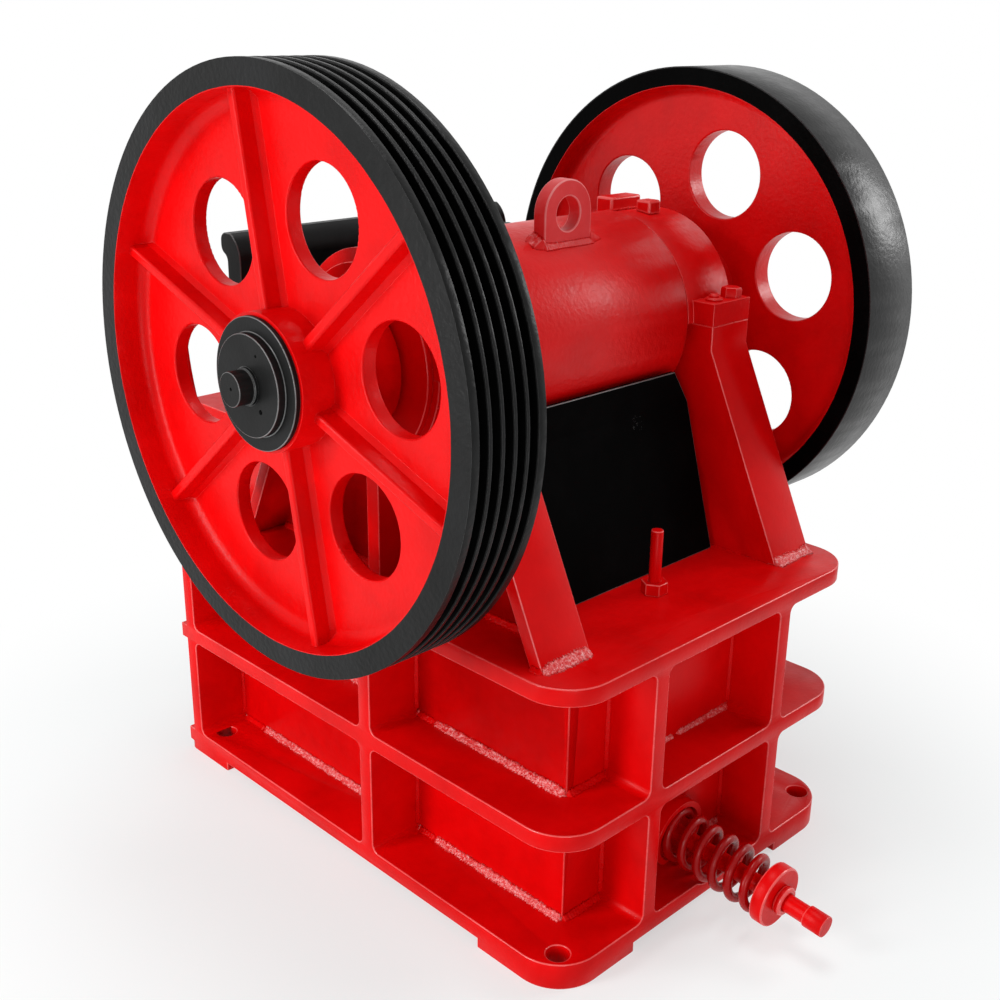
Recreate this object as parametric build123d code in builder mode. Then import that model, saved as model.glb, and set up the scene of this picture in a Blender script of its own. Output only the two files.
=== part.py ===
# Small jaw crusher: welded box frame, swing jaw on an eccentric shaft, grooved pulley and flywheel.
# Frame of reference: X along the shaft, the tension rod at the rear (-Y), the feed mouth at the front (+Y),
# Z up, origin on the floor at the middle of the four anchor holes. Pieces are drawn about the shaft line and
# set over the anchor holes when they are saved.
import os
from math import cos, radians, sin, tan

from build123d import *

os.makedirs("parts", exist_ok=True)

# Shaft line and wheels
shaft_height = 631.0
pulley_radius = 305.0
pulley_width = 90.0
pulley_rim_thickness = 26.0
flywheel_radius = 286.0
flywheel_width = 95.0
flywheel_rim_thickness = 23.0
hub_length = 122.0
hub_recess = 1.0
pulley_web_thickness = 17.5
flywheel_web_thickness = 28.0
pulley_web_inset = 39.0
flywheel_web_inset = 36.0
hub_radius = 71.0
hub_inner_gap = 6.0
wheel_hole_count = 6
wheel_hole_radius = 54.5
wheel_hole_lip = 2.0
pulley_hole_circle = 171.0
flywheel_hole_circle = 161.0
pulley_phase = 10.2
flywheel_phase = 15.5
web_fillet = 14.0
hub_fillet = 10.0
wheel_rib_width = 11.0
wheel_rib_draft = 2.5
wheel_rib_height = 22.0
wheel_rib_crown = 3.5
wheel_rib_root = 5.0
wheel_rib_sink = 2.0
groove_count = 5
groove_pitch = 15.0
groove_width = 11.5
groove_floor = 5.0
groove_depth = 15.0

# Shaft steps and end caps
shaft_radius = 50.0
journal_radius = 42.0
seat_radius = 38.0
stub_radius = 19.0
tip_radius = 17.5
stub_length = 3.0
tip_length = 17.0
cap_radius = 67.5
cap_thickness = 6.0
disc_radius = 52.0
disc_thickness = 9.0
running_clearance = 0.05
seat_clearance = 0.02
edge_match = 0.01

# Box frame
foot_thickness = 12.0
flange_thickness = 20.0
middle_flange_top = 193.0
top_flange_top = 361.0
side_overhang = 72.0
flange_rear_y = -317.0
flange_front_y = 395.0
flange_rear_corner = 55.0
flange_front_corner = 12.0
wall_thickness = 19.0
end_wall_thickness = 25.0
barrel_wall_gap = 15.0
rear_overhang = 64.0
front_overhang = 86.0
front_rib_inset = 12.0
rib_thickness = 20.0
rib_flare = 10.0
rib_gap = 60.0
end_rib_x = 111.0
deck_depth = 96.0
foot_width = 121.0
rear_foot_length = 125.0
front_foot_length = 92.0
anchor_radius = 13.5
anchor_edge_x = 29.0
rear_anchor_edge = 30.0
front_anchor_edge = 49.0
front_top_z = 502.0
front_top_overhang = 36.0
front_shoulder_y = 230.0

# Bearing stands and housings
stand_half_depth = 147.0
stand_foot_y = 262.0
stand_top_drop = 29.0
brace_thickness = 16.0
shaft_passage = 6.0
housing_reach = 54.0
cap_housing_radius = 118.0
base_housing_radius = 112.0
ear_height = 27.0
ear_inset = 2.0
seal_radius = 104.0
seal_thickness = 8.0
grease_box_length = 56.0
grease_box_width = 26.0
grease_box_height = 20.0
grease_box_y = 34.0
grease_plug_size = 22.0
grease_plug_height = 15.0
grease_plug_y = -14.0
fitting_sink = 6.0

# Swing jaw
barrel_radius = 121.0
barrel_half_length = 150.0
barrel_clearance = 5.0
jaw_side_clearance = 8.0
jaw_plate_thickness = 30.0
jaw_top_rise = 73.0
jaw_bottom_z = 89.0
gape = 112.0
discharge_gap = 30.0
pitman_foot_depth = 84.0
pitman_back_drop = 107.0
pitman_back_y = -60.0
head_height = 0.45
clamp_height = 17.0
clamp_depth = 30.0
tooth_pitch = 31.0
tooth_depth = 10.0
tooth_land = 4.0
eye_y = -62.0
eye_thickness = 18.0
eye_radius = 37.5
eye_hole_radius = 19.0
eye_rise = 138.0

# Fixed jaw, cheeks, feed lip and guards
fixed_plate_thickness = 27.0
fixed_plate_clearance = 3.0
fixed_plate_bottom_z = 74.0
lip_height = 226.5
lip_bend_radius = 37.2
lip_bend_angle = 60.0
lip_nose_reach = 12.0
lip_nose_height = 15.5
lip_nose_radius = 10.0
lip_neck_height = 19.0
cheek_thickness = 30.0
cheek_jaw_gap = 1.0
cheek_top_drop = 12.0
guard_thickness = 6.0
guard_bottom_y = -175.0
guard_lean = 16.0
guard_side_gap = 10.0
guard_barrel_gap = 6.0
guard_kink_drop = 93.0
guard_top_drop = 53.5
guard_corner = 24.0

# Tension rod at the rear and adjusting stud
rod_wall_z = 68.0
rod_tilt = 5.0
rod_radius = 10.5
rod_tip_radius = 12.5
rod_hole_clearance = 4.0
rod_foot_gap = 19.0
rod_cup_radius = 42.0
rod_cup_wall = 7.0
rod_cup_depth = 17.0
rod_seat_thickness = 5.0
spring_coil_radius = 28.0
spring_wire_radius = 5.5
spring_turns = 6.5
spring_length = 139.0
washer_radius = 36.0
washer_thickness = 17.0
collar_radius = 17.0
collar_thickness = 10.0
rod_neck_length = 26.0
rod_tip_length = 24.0
stud_y = -211.0
stud_radius = 7.0
stud_height = 76.0
nut_across_flats = 27.0
nut_height = 14.0

# Toggle
toggle_z = 180.0
toggle_thickness = 18.0
toggle_side_clearance = 12.0
toggle_clearance = 14.0
toggle_beam_depth = 42.0
toggle_beam_height = 60.0

# Values worked out from the driving dimensions
inner_half_width = barrel_half_length + barrel_wall_gap
wall_outer_x = inner_half_width + wall_thickness
flange_half_width = wall_outer_x + side_overhang
front_top_half_width = wall_outer_x + front_top_overhang
housing_outer_x = wall_outer_x + housing_reach
rear_wall_y = flange_rear_y + rear_overhang
front_wall_y = flange_front_y - front_overhang
side_front_y = flange_front_y - front_rib_inset
base_top = foot_thickness + flange_thickness
stand_top_z = shaft_height - stand_top_drop
seal_outer_x = housing_outer_x + seal_thickness
hub_inner_x = seal_outer_x + hub_inner_gap
hub_outer_x = hub_inner_x + hub_length
wheel_outer_x = hub_outer_x + hub_recess
cap_outer_x = hub_outer_x + cap_thickness
disc_outer_x = cap_outer_x + disc_thickness
fixed_face_y = front_wall_y - end_wall_thickness - fixed_plate_thickness
jaw_top_y = fixed_face_y - gape
jaw_bottom_y = fixed_face_y - discharge_gap
jaw_half_width = inner_half_width - cheek_thickness - jaw_side_clearance
toggle_half_width = jaw_half_width - toggle_side_clearance
jaw_top_z = shaft_height + jaw_top_rise
pitman_back_z = shaft_height - pitman_back_drop
guard_top_z = shaft_height - guard_top_drop
guard_kink_z = shaft_height - guard_kink_drop
guard_half_width = inner_half_width - guard_side_gap
shoulder_z = front_top_z - flange_thickness
housing_inner_x = barrel_half_length + barrel_clearance
anchor_x = flange_half_width - anchor_edge_x
rear_anchor_y = flange_rear_y + rear_anchor_edge
front_anchor_y = flange_front_y - front_anchor_edge
anchor_middle_y = (rear_anchor_y + front_anchor_y) / 2
SIDES = {"left": -1, "right": 1}

shaft_plane = Plane(origin=(0, 0, shaft_height), x_dir=(1, 0, 0), z_dir=(0, -1, 0))
shaft_axis = Axis((0, 0, shaft_height), (1, 0, 0))
rod_axis_plane = Plane(
    origin=(0, rear_wall_y, rod_wall_z),
    x_dir=(1, 0, 0),
    z_dir=(0, -cos(radians(rod_tilt)), -sin(radians(rod_tilt))),
)


def save(part, label):
    """Set one finished piece over the anchor holes, label it and write it to its own file."""
    placed = part.moved(Location((0, -anchor_middle_y, 0)))
    placed.label = label
    export_step(placed, f"parts/{label}.step")


def low_x(side, inner, outer):
    """Lower X of a slab that lies between two distances from the middle plane."""
    return inner if side > 0 else -outer


def slab(points, x_low, thickness):
    """Plate with the given outline in the Y-Z plane."""
    with BuildPart() as plate:
        with BuildSketch(Plane.YZ.offset(x_low)):
            with BuildLine():
                Polyline(*points, close=True)
            make_face()
        extrude(amount=thickness)
    return plate.part


def turned(points):
    """Body of revolution about the shaft line from an outline of (x, radius)."""
    with BuildPart() as body:
        with BuildSketch(shaft_plane):
            with BuildLine():
                Polyline(*points, close=True)
            make_face()
        revolve(axis=shaft_axis)
    return body.part


def flange_outline():
    """Rounded outline of the flange plates, drawn in the current sketch."""
    length = flange_front_y - flange_rear_y
    with Locations((0, (flange_front_y + flange_rear_y) / 2)):
        outline = Rectangle(2 * flange_half_width, length)
    corners = outline.vertices().group_by(Axis.Y)
    fillet(corners[0], flange_rear_corner)
    fillet(corners[-1], flange_front_corner)


def box_opening():
    """Opening of the flange plates around the box walls."""
    with Locations((0, (front_wall_y + rear_wall_y) / 2)):
        Rectangle(2 * wall_outer_x, front_wall_y - rear_wall_y, mode=Mode.SUBTRACT)
    for side in SIDES.values():
        with Locations((side * (wall_outer_x - wall_thickness / 2), (side_front_y + front_wall_y) / 2)):
            Rectangle(wall_thickness, side_front_y - front_wall_y, mode=Mode.SUBTRACT)


# Base flange with four feet and anchor holes
with BuildPart() as base_flange:
    with BuildSketch(Plane.XY.offset(foot_thickness)):
        flange_outline()
        box_opening()
    extrude(amount=flange_thickness)
    foot_x = flange_half_width - foot_width / 2
    rear_foot_y = flange_rear_y + rear_foot_length / 2
    front_foot_y = flange_front_y - front_foot_length / 2
    for side in SIDES.values():
        with BuildSketch(Plane.XY):
            with Locations((side * foot_x, rear_foot_y)):
                rear_foot = Rectangle(foot_width, rear_foot_length)
            fillet(rear_foot.vertices().sort_by_distance((0, 0))[-1], flange_rear_corner)
            with Locations((side * foot_x, front_foot_y)):
                front_foot = Rectangle(foot_width, front_foot_length)
            fillet(front_foot.vertices().sort_by_distance((0, 0))[-1], flange_front_corner)
            box_opening()
        extrude(amount=foot_thickness)
    with Locations(
        *[(side * anchor_x, y, base_top) for side in SIDES.values() for y in (rear_anchor_y, front_anchor_y)]
    ):
        Hole(anchor_radius, depth=base_top)
    with BuildSketch(rod_axis_plane):
        Circle(spring_coil_radius + spring_wire_radius + rod_hole_clearance)
    extrude(amount=2 * rear_overhang, mode=Mode.SUBTRACT)
save(base_flange.part, "base_flange")

# Middle flange around the box
with BuildPart() as middle_flange:
    with BuildSketch(Plane.XY.offset(middle_flange_top - flange_thickness)):
        flange_outline()
        box_opening()
    extrude(amount=flange_thickness)
save(middle_flange.part, "middle_flange")

# Top flange with the rear deck between the side walls
with BuildPart() as top_flange:
    with BuildSketch(Plane.XY.offset(top_flange_top - flange_thickness)):
        flange_outline()
        box_opening()
        with Locations((0, rear_wall_y + deck_depth / 2)):
            Rectangle(2 * inner_half_width, deck_depth)
    extrude(amount=flange_thickness)
save(top_flange.part, "top_flange")

# Line of the sloped bearing stand: outer face from the kink under the housing to the foot on the top flange
stand_run = stand_foot_y - stand_half_depth
stand_rise = stand_top_z - top_flange_top
brace_depth = brace_thickness * (stand_run**2 + stand_rise**2) ** 0.5 / stand_rise

# Side walls, notched around the shaft
for name, side in SIDES.items():
    with BuildPart() as side_wall:
        with BuildSketch(Plane.YZ.offset(low_x(side, inner_half_width, wall_outer_x))):
            with BuildLine():
                Polyline(
                    (rear_wall_y, foot_thickness),
                    (rear_wall_y, top_flange_top),
                    (brace_depth - stand_foot_y, top_flange_top),
                    (brace_depth - stand_half_depth, stand_top_z),
                    (stand_half_depth, stand_top_z),
                    (front_shoulder_y, shoulder_z),
                    (side_front_y, shoulder_z),
                    (side_front_y, foot_thickness),
                    close=True,
                )
            make_face()
            with Locations((0, shaft_height)):
                Circle(journal_radius + shaft_passage, mode=Mode.SUBTRACT)
        extrude(amount=wall_thickness)
    save(side_wall.part, f"{name}_side_wall")

# Rear wall with the hole for the tension rod
with BuildPart() as rear_wall:
    with BuildSketch(Plane.XZ.offset(-rear_wall_y)):
        with Locations((0, (foot_thickness + top_flange_top - flange_thickness) / 2)):
            Rectangle(2 * inner_half_width, top_flange_top - flange_thickness - foot_thickness)
    extrude(amount=-end_wall_thickness)
    with BuildSketch(rod_axis_plane):
        Circle(rod_radius + rod_hole_clearance)
    extrude(amount=2 * end_wall_thickness, both=True, mode=Mode.SUBTRACT)
save(rear_wall.part, "rear_wall")

# Front wall
with BuildPart() as front_wall:
    with BuildSketch(Plane.XZ.offset(-front_wall_y)):
        with Locations((0, (foot_thickness + shoulder_z) / 2)):
            Rectangle(2 * inner_half_width, shoulder_z - foot_thickness)
    extrude(amount=end_wall_thickness)
save(front_wall.part, "front_wall")

# Plate over the front wall, notched for the fixed jaw plate
plate_half_width = inner_half_width - fixed_plate_clearance
with BuildPart() as front_top_plate:
    with BuildSketch(Plane.XY.offset(shoulder_z)):
        with Locations((0, (flange_front_y + fixed_face_y) / 2)):
            Rectangle(2 * front_top_half_width, flange_front_y - fixed_face_y)
        with Locations((0, fixed_face_y + fixed_plate_thickness / 2)):
            Rectangle(2 * plate_half_width, fixed_plate_thickness, mode=Mode.SUBTRACT)
    extrude(amount=flange_thickness)
save(front_top_plate.part, "front_top_plate")

# Upright ribs between the flanges, in two tiers, flared where they meet the flanges
tiers = [(base_top, middle_flange_top - flange_thickness), (middle_flange_top, top_flange_top - flange_thickness)]


def flared_rib(plane, place, tier, depth, cells):
    """One upright rib, with rounded cell corners on the listed sides, added to the current part."""
    low, high = tier
    height = high - low
    with BuildSketch(plane) as rib:
        with Locations((place, (low + high) / 2)):
            Rectangle(rib_thickness, height)
        for cell in cells:
            with Locations((place + cell * (rib_thickness + rib_flare) / 2, (low + high) / 2)):
                Rectangle(rib_flare, height)
            with Locations((place + cell * (rib_thickness + rib_gap) / 2, (low + high) / 2)):
                RectangleRounded(rib_gap, height, rib_flare, mode=Mode.SUBTRACT)
    extrude(rib.sketch, amount=depth)


with BuildPart() as side_ribs:
    for tier in tiers:
        for side in SIDES.values():
            rib_plane = Plane.YZ.offset(low_x(side, wall_outer_x, flange_half_width))
            rib_depth = flange_half_width - wall_outer_x
            flared_rib(rib_plane, 0, tier, rib_depth, (1, -1))
            flared_rib(rib_plane, side_front_y - rib_thickness / 2, tier, rib_depth, (-1,))
save(side_ribs.part, "side_ribs")

with BuildPart() as end_ribs:
    for tier in tiers:
        for side in SIDES.values():
            flared_rib(Plane.XZ.offset(-flange_rear_y), side * end_rib_x, tier, -rear_overhang, (1, -1))
            flared_rib(
                Plane.XZ.offset(-side_front_y),
                side * end_rib_x,
                tier,
                side_front_y - front_wall_y,
                (1, -1),
            )
save(end_ribs.part, "end_ribs")

# Bearing stands, housings, seals and grease fittings on both sides
stand_inner_x = inner_half_width
stand_outer_x = housing_outer_x - ear_inset
bore_radius = journal_radius + running_clearance

for name, side in SIDES.items():
    rear_brace = slab(
        [
            (-stand_foot_y, top_flange_top),
            (-stand_half_depth, stand_top_z),
            (brace_depth - stand_half_depth, stand_top_z),
            (brace_depth - stand_foot_y, top_flange_top),
        ],
        low_x(side, stand_inner_x, stand_outer_x),
        stand_outer_x - stand_inner_x,
    )
    save(rear_brace, f"{name}_rear_brace")

    front_brace = slab(
        [
            (stand_foot_y, top_flange_top),
            (stand_half_depth, stand_top_z),
            (stand_half_depth - brace_depth, stand_top_z),
            (stand_foot_y - brace_depth, top_flange_top),
        ],
        low_x(side, wall_outer_x, stand_outer_x),
        stand_outer_x - wall_outer_x,
    )
    save(front_brace, f"{name}_front_brace")

    housing_x = low_x(side, housing_inner_x, housing_outer_x)
    boss_x = low_x(side, wall_outer_x, housing_outer_x)
    ear_x = low_x(side, stand_inner_x, stand_outer_x)
    housing_width = housing_outer_x - housing_inner_x
    with BuildPart() as bearing_base:
        with BuildSketch(Plane.YZ.offset(boss_x)):
            with Locations((0, shaft_height)):
                Circle(base_housing_radius)
            with Locations((0, shaft_height + base_housing_radius / 2)):
                Rectangle(2 * base_housing_radius, base_housing_radius, mode=Mode.SUBTRACT)
        extrude(amount=housing_outer_x - wall_outer_x)
        with BuildSketch(Plane.YZ.offset(ear_x)):
            with Locations((0, (stand_top_z + shaft_height) / 2)):
                Rectangle(2 * stand_half_depth, stand_top_drop)
        extrude(amount=stand_outer_x - stand_inner_x)
        with BuildSketch(Plane.YZ.offset(housing_x)):
            with Locations((0, shaft_height)):
                Circle(bore_radius)
        extrude(amount=housing_width, mode=Mode.SUBTRACT)
    save(bearing_base.part, f"{name}_bearing_base")

    with BuildPart() as bearing_cap:
        with BuildSketch(Plane.YZ.offset(housing_x)):
            with Locations((0, shaft_height)):
                Circle(cap_housing_radius)
            with Locations((0, shaft_height - cap_housing_radius / 2)):
                Rectangle(2 * cap_housing_radius, cap_housing_radius, mode=Mode.SUBTRACT)
        extrude(amount=housing_width)
        with BuildSketch(Plane.YZ.offset(ear_x)):
            with Locations((0, shaft_height + ear_height / 2)):
                Rectangle(2 * stand_half_depth, ear_height)
        extrude(amount=stand_outer_x - stand_inner_x)
        with BuildSketch(Plane.YZ.offset(housing_x)):
            with Locations((0, shaft_height)):
                Circle(bore_radius)
        extrude(amount=housing_width, mode=Mode.SUBTRACT)
    save(bearing_cap.part, f"{name}_bearing_cap")

with BuildPart() as stand_ribs:
    for side in SIDES.values():
        with BuildSketch(Plane.YZ.offset(low_x(side, wall_outer_x, stand_outer_x))):
            with Locations((0, (top_flange_top + shaft_height) / 2)):
                Rectangle(rib_thickness, shaft_height - top_flange_top)
            with Locations((0, shaft_height)):
                Circle(base_housing_radius, mode=Mode.SUBTRACT)
        extrude(amount=stand_outer_x - wall_outer_x)
save(stand_ribs.part, "stand_ribs")

with BuildPart() as bearing_seals:
    for side in SIDES.values():
        with BuildSketch(Plane.YZ.offset(low_x(side, housing_outer_x, seal_outer_x))):
            with Locations((0, shaft_height)):
                Circle(seal_radius)
                Circle(bore_radius, mode=Mode.SUBTRACT)
        extrude(amount=seal_thickness)
save(bearing_seals.part, "bearing_seals")

with BuildPart() as cap_fittings:
    for side in SIDES.values():
        fitting_x = side * (housing_inner_x + housing_outer_x) / 2
        for y, length, width, height in (
            (grease_box_y, grease_box_length, grease_box_width, grease_box_height),
            (grease_plug_y, grease_plug_size, grease_plug_size, grease_plug_height),
        ):
            crown_z = shaft_height + (cap_housing_radius**2 - y**2) ** 0.5
            with BuildSketch(Plane.XY.offset(crown_z - fitting_sink)):
                with Locations((fitting_x, side * y)):
                    Rectangle(length, width)
            extrude(amount=fitting_sink + height)
    with BuildSketch(Plane.YZ):
        with Locations((0, shaft_height)):
            Circle(cap_housing_radius)
    extrude(amount=housing_outer_x, both=True, mode=Mode.SUBTRACT)
save(cap_fittings.part, "cap_fittings")

# Eccentric shaft with stepped ends
half_outline = [
    (barrel_half_length, shaft_radius),
    (barrel_half_length, journal_radius),
    (hub_inner_x, journal_radius),
    (hub_inner_x, seat_radius),
    (hub_outer_x, seat_radius),
    (hub_outer_x, stub_radius),
    (disc_outer_x + stub_length, stub_radius),
    (disc_outer_x + stub_length, tip_radius),
    (disc_outer_x + stub_length + tip_length, tip_radius),
    (disc_outer_x + stub_length + tip_length, 0),
]
mirrored_outline = [(-x, r) for x, r in reversed(half_outline)]
save(turned(mirrored_outline + half_outline), "eccentric_shaft")


def wheel(side, radius, width, rim_thickness, web_inset, web_thickness, hole_circle, phase):
    """Cast wheel on the shaft: rim, web with lightening holes, hub and radial ribs on the outer face."""
    rim_inner_x = wheel_outer_x - width
    rim_bore = radius - rim_thickness
    web_outer_x = wheel_outer_x - web_inset
    web_inner_x = web_outer_x - web_thickness
    rim_points = [(rim_inner_x, rim_bore), (rim_inner_x, radius)]
    if side < 0:
        first_groove = rim_inner_x + (width - (groove_count - 1) * groove_pitch) / 2
        for index in range(groove_count):
            middle = first_groove + index * groove_pitch
            rim_points += [
                (middle - groove_width / 2, radius),
                (middle - groove_floor / 2, radius - groove_depth),
                (middle + groove_floor / 2, radius - groove_depth),
                (middle + groove_width / 2, radius),
            ]
    rim_points += [(wheel_outer_x, radius), (wheel_outer_x, rim_bore)]
    points = [
        (hub_inner_x, seat_radius + seat_clearance),
        (hub_inner_x, hub_radius),
        (web_inner_x, hub_radius),
        (web_inner_x, rim_bore),
        *rim_points,
        (web_outer_x, rim_bore),
        (web_outer_x, hub_radius),
        (hub_outer_x, hub_radius),
        (hub_outer_x, seat_radius + seat_clearance),
    ]
    with BuildPart() as casting:
        with BuildSketch(shaft_plane) as section:
            with BuildLine():
                Polyline(*[(side * x, r) for x, r in points], close=True)
            make_face()
            for face_x in (web_outer_x, web_inner_x):
                roots = [v for v in section.vertices() if abs(side * v.X - face_x) < edge_match]
                fillet([v for v in roots if v.Y > hub_radius + edge_match], web_fillet)
                fillet([v for v in roots if v.Y < hub_radius + edge_match], hub_fillet)
        revolve(axis=shaft_axis)
        hole_plane = Plane(origin=(side * web_inner_x, 0, shaft_height), x_dir=(0, -1, 0), z_dir=(side, 0, 0))
        with BuildSketch(hole_plane):
            with PolarLocations(hole_circle, wheel_hole_count):
                Circle(wheel_hole_radius)
        extrude(amount=web_thickness, mode=Mode.SUBTRACT)
        rims = casting.edges().filter_by(GeomType.CIRCLE)
        fillet(rims.filter_by(lambda edge: abs(edge.radius - wheel_hole_radius) < edge_match), wheel_hole_lip)
        crown_half = wheel_rib_width / 2
        root_half = crown_half + wheel_rib_draft
        foot_half = root_half + wheel_rib_root + wheel_rib_sink
        start = hub_radius - hub_fillet / 2
        for index in range(wheel_hole_count):
            angle = radians((index + 0.5) * 360 / wheel_hole_count)
            outward = (0, -cos(angle), sin(angle))
            foot = (side * web_outer_x, outward[1] * start, shaft_height + outward[2] * start)
            with BuildSketch(Plane(origin=foot, x_dir=(side, 0, 0), z_dir=outward)) as rib:
                with BuildLine():
                    Polyline(
                        (-wheel_rib_sink, -foot_half),
                        (wheel_rib_root, -root_half),
                        (wheel_rib_height, -crown_half),
                        (wheel_rib_height, crown_half),
                        (wheel_rib_root, root_half),
                        (-wheel_rib_sink, foot_half),
                        close=True,
                    )
                make_face()
                fillet([v for v in rib.vertices() if v.X > wheel_rib_height - edge_match], wheel_rib_crown)
            extrude(amount=rim_bore + wheel_rib_sink - start)
    return casting.part.rotate(shaft_axis, -phase)


pulley = wheel(
    -1,
    pulley_radius,
    pulley_width,
    pulley_rim_thickness,
    pulley_web_inset,
    pulley_web_thickness,
    pulley_hole_circle,
    pulley_phase,
)
save(pulley, "pulley")
flywheel = wheel(
    1,
    flywheel_radius,
    flywheel_width,
    flywheel_rim_thickness,
    flywheel_web_inset,
    flywheel_web_thickness,
    flywheel_hole_circle,
    flywheel_phase,
)
save(flywheel, "flywheel")

# Stepped end caps on the hubs
for name, side in (("pulley_end_cap", -1), ("flywheel_end_cap", 1)):
    end_cap = turned(
        [
            (side * hub_outer_x, stub_radius + seat_clearance),
            (side * hub_outer_x, cap_radius),
            (side * cap_outer_x, cap_radius),
            (side * cap_outer_x, disc_radius),
            (side * disc_outer_x, disc_radius),
            (side * disc_outer_x, stub_radius + seat_clearance),
        ]
    )
    save(end_cap, name)

# Swing jaw: barrel on the shaft and the tapering body that carries the jaw plate
seat_top_y = jaw_top_y - jaw_plate_thickness
seat_bottom_y = jaw_bottom_y - jaw_plate_thickness
back_slope = (seat_bottom_y - pitman_foot_depth - pitman_back_y) / (pitman_back_z - jaw_bottom_z)
with BuildPart() as pitman:
    with BuildSketch(Plane.YZ.offset(-barrel_half_length)):
        with Locations((0, shaft_height)):
            Circle(barrel_radius)
    extrude(amount=2 * barrel_half_length)
    with BuildSketch(Plane.YZ.offset(-jaw_half_width)):
        with BuildLine():
            Polyline(
                (0, shaft_height + barrel_radius * head_height),
                (seat_top_y, jaw_top_z),
                (seat_bottom_y, jaw_bottom_z),
                (seat_bottom_y - pitman_foot_depth, jaw_bottom_z),
                (pitman_back_y, pitman_back_z),
                close=True,
            )
        make_face()
    extrude(amount=2 * jaw_half_width)
    with BuildSketch(Plane.YZ.offset(-barrel_half_length)):
        with Locations((0, shaft_height)):
            Circle(shaft_radius + running_clearance)
    extrude(amount=2 * barrel_half_length, mode=Mode.SUBTRACT)
save(pitman.part, "pitman")

# Toothed jaw plates
tooth_count = int(2 * jaw_half_width / tooth_pitch)


def tooth_profile(half_width, thickness):
    """Outline of a toothed plate seen along the teeth, with its back on the x axis."""
    valley = thickness - tooth_depth
    points = [(-half_width, 0), (-half_width, valley)]
    for index in range(tooth_count):
        crest = (index - (tooth_count - 1) / 2) * tooth_pitch
        points += [
            (crest - tooth_pitch / 2 + tooth_land, valley),
            (crest - tooth_land, thickness),
            (crest + tooth_land, thickness),
            (crest + tooth_pitch / 2 - tooth_land, valley),
        ]
    points += [(half_width, valley), (half_width, 0)]
    return points


jaw_run = seat_top_y - seat_bottom_y
jaw_rise = jaw_top_z - jaw_bottom_z
with BuildPart() as moving_jaw_plate:
    with BuildSketch(
        Plane(origin=(0, seat_bottom_y, jaw_bottom_z), x_dir=(1, 0, 0), z_dir=(0, jaw_run, jaw_rise))
    ):
        with BuildLine():
            Polyline(*tooth_profile(jaw_half_width, jaw_plate_thickness), close=True)
        make_face()
    extrude(amount=(jaw_run**2 + jaw_rise**2) ** 0.5)
save(moving_jaw_plate.part, "moving_jaw_plate")

fixed_back_y = fixed_face_y + fixed_plate_thickness
with BuildPart() as fixed_jaw_plate:
    with BuildSketch(Plane(origin=(0, fixed_back_y, fixed_plate_bottom_z), x_dir=(-1, 0, 0), z_dir=(0, 0, 1))):
        with BuildLine():
            Polyline(*tooth_profile(plate_half_width, fixed_plate_thickness), close=True)
        make_face()
    extrude(amount=front_top_z - fixed_plate_bottom_z)
save(fixed_jaw_plate.part, "fixed_jaw_plate")

# Clamp bar over the top of the moving jaw plate
with BuildPart() as jaw_clamp_bar:
    with BuildSketch(
        Plane(origin=(0, seat_top_y, jaw_top_z), x_dir=(1, 0, 0), z_dir=(0, jaw_run, jaw_rise))
    ):
        with Locations((0, jaw_plate_thickness - tooth_depth - clamp_depth / 2)):
            Rectangle(2 * jaw_half_width, clamp_depth)
    extrude(amount=clamp_height)
save(jaw_clamp_bar.part, "jaw_clamp_bar")

# Lifting eye welded on the barrel
eye_z = shaft_height + eye_rise
with BuildPart() as lifting_eye:
    with BuildSketch(Plane.XZ.offset(-eye_y)):
        with Locations((0, eye_z)):
            Circle(eye_radius)
        with Locations((0, (eye_z + shaft_height) / 2)):
            Rectangle(2 * eye_radius, eye_z - shaft_height)
        with Locations((0, eye_z)):
            Circle(eye_hole_radius, mode=Mode.SUBTRACT)
    extrude(amount=-eye_thickness)
    with BuildSketch(Plane.YZ):
        with Locations((0, shaft_height)):
            Circle(barrel_radius)
    extrude(amount=barrel_half_length, both=True, mode=Mode.SUBTRACT)
save(lifting_eye.part, "lifting_eye")

# Feed lip above the fixed jaw: upright plate rolled outward at the top, with a rounded nose
lip_y = fixed_face_y
lip_top_z = front_top_z + lip_height
lip_front_y = lip_y + fixed_plate_thickness
bend = radians(lip_bend_angle)
bend_z = lip_top_z - lip_bend_radius * sin(bend)
bend_centre = (lip_y + lip_bend_radius, bend_z)
crest = (bend_centre[0] - lip_bend_radius * cos(bend), lip_top_z)
nose_y = lip_front_y + lip_nose_reach
nose_centre = (nose_y - lip_nose_radius, lip_top_z - lip_nose_radius)
nose_bottom = (nose_y, lip_top_z - lip_nose_height)
neck_bottom = (lip_front_y, nose_bottom[1] - lip_neck_height)
neck_middle = ((nose_y + lip_front_y) / 2, (nose_bottom[1] + neck_bottom[1]) / 2)
with BuildPart() as feed_lip:
    with BuildSketch(Plane.YZ.offset(-front_top_half_width)):
        with BuildLine():
            Polyline(neck_bottom, (lip_front_y, front_top_z), (lip_y, front_top_z), (lip_y, bend_z))
            CenterArc(bend_centre, lip_bend_radius, 180, -lip_bend_angle)
            Line(crest, (nose_centre[0], lip_top_z))
            CenterArc(nose_centre, lip_nose_radius, 90, -90)
            Line((nose_y, nose_centre[1]), nose_bottom)
            TangentArc(nose_bottom, neck_middle, tangent=(0, -1))
            TangentArc(neck_bottom, neck_middle, tangent=(0, 1))
        make_face()
    extrude(amount=2 * front_top_half_width)
save(feed_lip.part, "feed_lip")

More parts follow.
